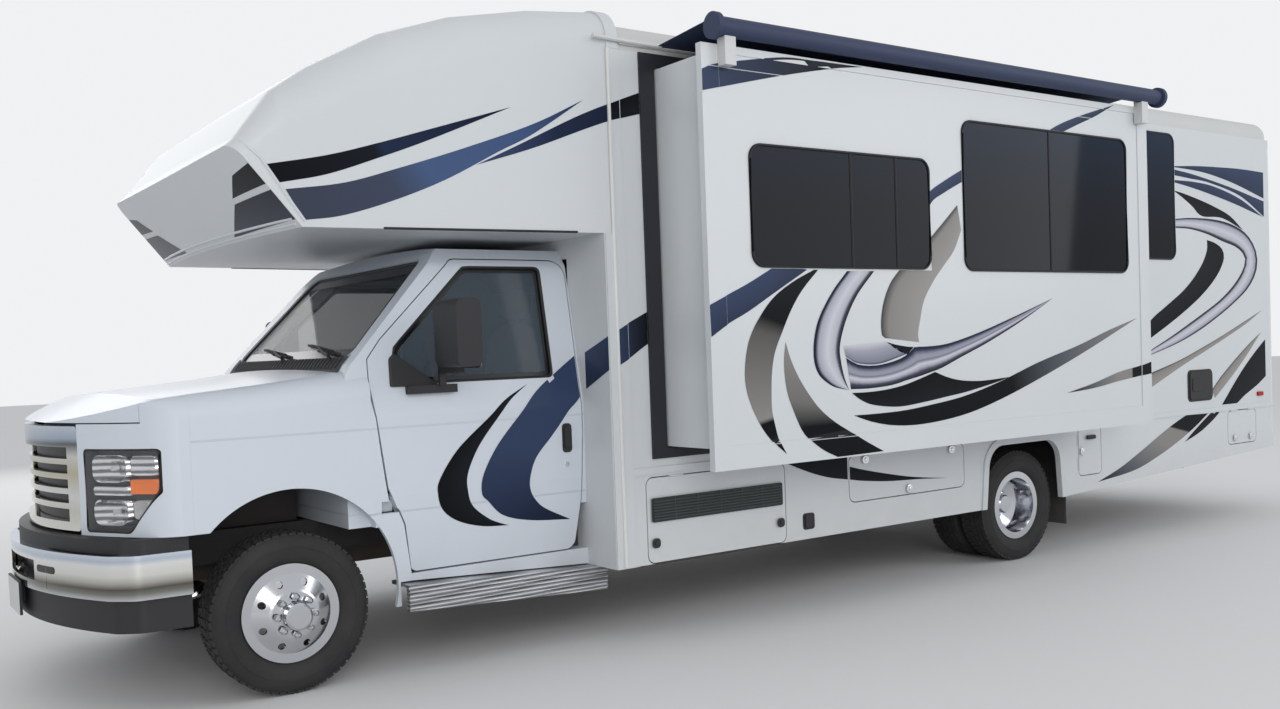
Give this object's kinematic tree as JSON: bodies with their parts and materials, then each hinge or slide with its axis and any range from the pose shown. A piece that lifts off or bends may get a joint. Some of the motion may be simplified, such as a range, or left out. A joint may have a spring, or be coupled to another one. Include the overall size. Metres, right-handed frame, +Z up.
{
  "type": "motorhome",
  "caption": "Class C motorhome on a cutaway van chassis: cab with hinged doors and hood, over-cab cap, coach body, slide-out room with topper, hinged compartment doors, twin rear wheels.",
  "frame": {"origin": "on the ground under the middle of the whole vehicle, slide-out room extended", "axes": "+X from nose to tail, -Y the driver side with the slide-out room, +Z up"},
  "size_m": [9.419, 3.2727, 3.5229],
  "materials": {
    "body_white": "gloss off-white paint and gelcoat",
    "skirt_white": "gloss off-white",
    "chrome": "bright chrome",
    "steel_liner": "polished stainless liner",
    "tread_rubber": "black tyre rubber",
    "black_plastic": "black textured plastic",
    "white_plastic": "white moulded plastic",
    "dark_glass": "dark tinted glass",
    "clear_glass": "clear automotive glass",
    "lamp_lens": "clear and amber lamp lens",
    "chassis_black": "black chassis paint",
    "iron": "bare cast iron",
    "aluminium": "polished aluminium",
    "interior_grey": "grey interior trim",
    "seat_cloth": "grey-beige seat cloth",
    "navy_fabric": "navy awning fabric",
    "rubber_seal": "black seal rubber",
    "floor_wood": "vinyl covered plywood"
  },
  "bodies": {
    "coach": {"axles": "chassis_black", "cab_floor": "interior_grey", "cab_seats": "seat_cloth", "cab_shell": "body_white", "cab_surround": "body_white", "chassis_frame": "chassis_black", "coach_floor": "floor_wood", "coach_windows": "dark_glass", "dashboard": "interior_grey", "engine_block": "iron", "front_bumper": "chrome", "front_cap": "body_white", "front_fascia": "black_plastic", "front_fenders": "body_white", "grille": "chrome", "lamps": "lamp_lens", "lockers": "black_plastic", "patio_awning": "aluminium", "rear_bumper": "chassis_black", "rear_wall": "body_white", "roof": "body_white", "roof_units": "white_plastic", "running_boards": "aluminium", "side_wall_left": "body_white", "side_wall_right": "body_white", "skirt_left": "skirt_white", "skirt_right": "skirt_white", "slide_seal": "rubber_seal", "underbody": "chassis_black", "windscreen": "clear_glass"},
    "wheel_front_left": {"tyre_front_left": "tread_rubber", "rim_front_left": "steel_liner"},
    "wheel_front_right": {"tyre_front_right": "tread_rubber", "rim_front_right": "steel_liner"},
    "wheels_rear_left": {"tyres_rear_left": "tread_rubber", "rims_rear_left": "steel_liner"},
    "wheels_rear_right": {"tyres_rear_right": "tread_rubber", "rims_rear_right": "steel_liner"},
    "steer_left": {"knuckle_left": "iron"},
    "steer_right": {"knuckle_right": "iron"},
    "hood": {"hood": "body_white"},
    "door_left": {"cab_door_left": "body_white", "cab_glass_left": "clear_glass", "mirror_left": "black_plastic"},
    "door_right": {"cab_door_right": "body_white", "cab_glass_right": "clear_glass", "mirror_right": "black_plastic"},
    "entry_door": {"entry_door": "body_white", "entry_glass": "dark_glass"},
    "slide_out": {"slide_wall": "body_white", "slide_box": "body_white", "slide_windows": "dark_glass", "topper_roller": "navy_fabric", "topper_fabric": "navy_fabric"},
    "hatch_left_front": {"hatch_left_front": "skirt_white"},
    "hatch_left_middle": {"hatch_left_middle": "skirt_white"},
    "hatch_left_narrow": {"hatch_left_narrow": "skirt_white"},
    "hatch_left_rear": {"hatch_left_rear": "skirt_white"},
    "hatch_right_front": {"hatch_right_front": "skirt_white"},
    "hatch_right_rear": {"hatch_right_rear": "skirt_white"}
  },
  "joints": [
    {"name": "steer_left_turn", "type": "hinge", "parent": "coach", "child": "steer_left", "pos_m": [-3.7105, -0.5805, 0.372], "axis": [0, 0, 1], "range_deg": [-35, 35]},
    {"name": "steer_right_turn", "type": "hinge", "parent": "coach", "child": "steer_right", "pos_m": [-3.7105, 1.0195, 0.372], "axis": [0, 0, 1], "range_deg": [-35, 35]},
    {"name": "wheel_front_left_spin", "type": "hinge", "parent": "steer_left", "child": "wheel_front_left", "pos_m": [-3.7105, -0.662, 0.372], "axis": [0, 1, 0], "continuous": true},
    {"name": "wheel_front_right_spin", "type": "hinge", "parent": "steer_right", "child": "wheel_front_right", "pos_m": [-3.7105, 1.101, 0.372], "axis": [0, 1, 0], "continuous": true},
    {"name": "wheels_rear_left_spin", "type": "hinge", "parent": "coach", "child": "wheels_rear_left", "pos_m": [1.2295, -0.7695, 0.372], "axis": [0, 1, 0], "continuous": true},
    {"name": "wheels_rear_right_spin", "type": "hinge", "parent": "coach", "child": "wheels_rear_right", "pos_m": [1.2295, 1.2085, 0.372], "axis": [0, 1, 0], "continuous": true},
    {"name": "hood_hinge", "type": "hinge", "parent": "coach", "child": "hood", "pos_m": [-3.4405, 0.2195, 1.455], "axis": [0, 1, 0], "range_deg": [0, 50]},
    {"name": "door_left_hinge", "type": "hinge", "parent": "coach", "child": "door_left", "pos_m": [-3.2055, -0.7555, 1], "axis": [0, 0, -1], "range_deg": [0, 65]},
    {"name": "door_right_hinge", "type": "hinge", "parent": "coach", "child": "door_right", "pos_m": [-3.2055, 1.1945, 1], "axis": [0, 0, 1], "range_deg": [0, 65]},
    {"name": "entry_door_hinge", "type": "hinge", "parent": "coach", "child": "entry_door", "pos_m": [-0.0135, 1.4945, 1.5], "axis": [0, 0, 1], "range_deg": [0, 110]},
    {"name": "hatch_left_front_hinge", "type": "hinge", "parent": "coach", "child": "hatch_left_front", "pos_m": [-1.7105, -1.0555, 0.846], "axis": [-1, 0, 0], "range_deg": [0, 85]},
    {"name": "hatch_left_middle_hinge", "type": "hinge", "parent": "coach", "child": "hatch_left_middle", "pos_m": [-1.7105, -1.0555, 0.843], "axis": [-1, 0, 0], "range_deg": [0, 85]},
    {"name": "hatch_left_rear_hinge", "type": "hinge", "parent": "coach", "child": "hatch_left_rear", "pos_m": [-1.7105, -1.0555, 0.859], "axis": [-1, 0, 0], "range_deg": [0, 85]},
    {"name": "hatch_left_narrow_hinge", "type": "hinge", "parent": "coach", "child": "hatch_left_narrow", "pos_m": [1.8425, -1.0555, 0.7], "axis": [0, 0, -1], "range_deg": [0, 100]},
    {"name": "hatch_right_front_hinge", "type": "hinge", "parent": "coach", "child": "hatch_right_front", "pos_m": [-1.7105, 1.4945, 0.846], "axis": [1, 0, 0], "range_deg": [0, 85]},
    {"name": "hatch_right_rear_hinge", "type": "hinge", "parent": "coach", "child": "hatch_right_rear", "pos_m": [3.0895, 1.4945, 0.859], "axis": [1, 0, 0], "range_deg": [0, 85]},
    {"name": "slide_out_travel", "type": "slide", "parent": "coach", "child": "slide_out", "axis": [0, 1, 0], "range_m": [0, 0.42], "deforming": ["topper_fabric"]}
  ],
  "couplings": [
    {"joint": "steer_right_turn", "follows": "steer_left_turn", "ratio": 1}
  ]
}
